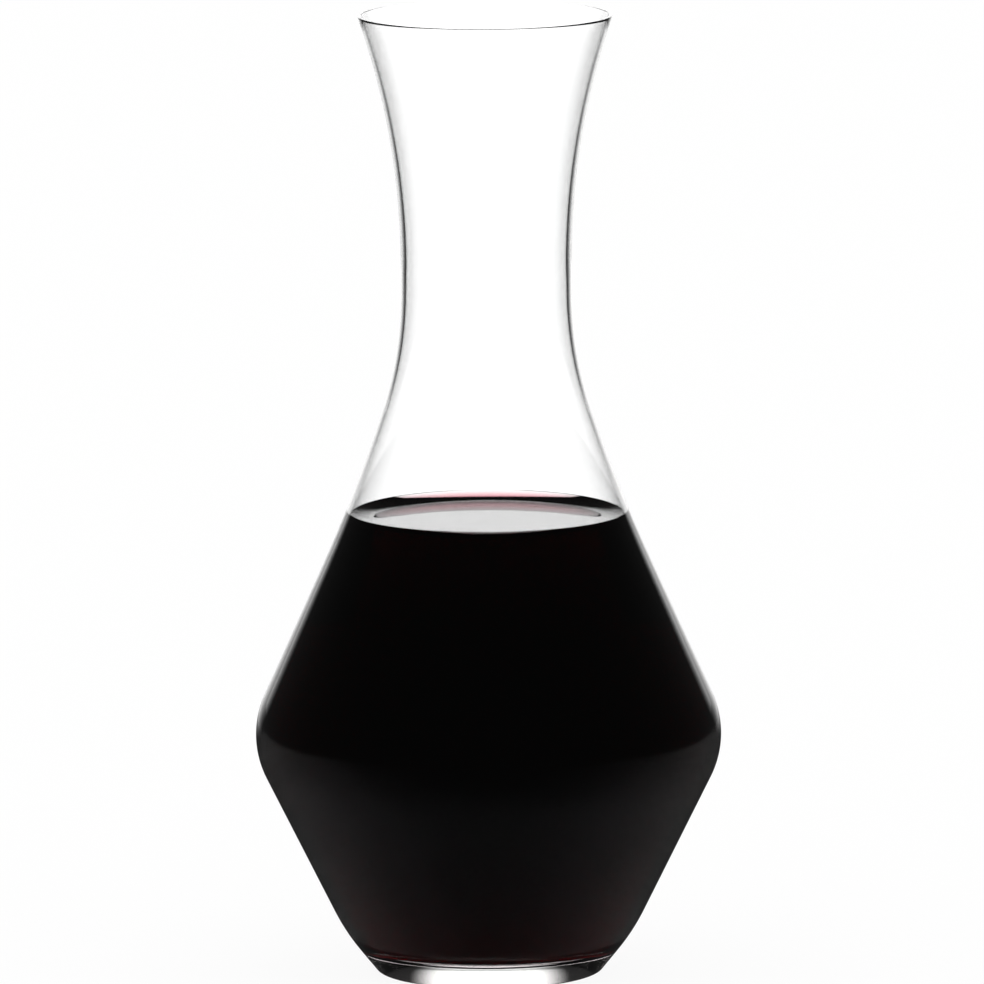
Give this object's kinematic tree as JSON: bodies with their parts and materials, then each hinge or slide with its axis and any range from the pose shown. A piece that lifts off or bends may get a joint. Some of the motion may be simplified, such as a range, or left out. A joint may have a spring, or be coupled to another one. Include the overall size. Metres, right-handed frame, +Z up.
{
  "type": "wine decanter",
  "caption": "Carafe-style decanter of clear blown glass, with a double-cone body, waisted neck and flared mouth, holding red wine.",
  "frame": {"origin": "centre of the foot, on the plane it stands on", "axes": "+Z up along the vessel's axis of revolution, towards the mouth; X and Y are free, because the form is turned"},
  "size_m": [0.117, 0.117, 0.242],
  "materials": {
    "clear_glass": "polished, clear",
    "red_wine": "clear liquid"
  },
  "bodies": {
    "root": {"glass_vessel": "clear_glass", "wine": "red_wine"}
  },
  "joints": []
}
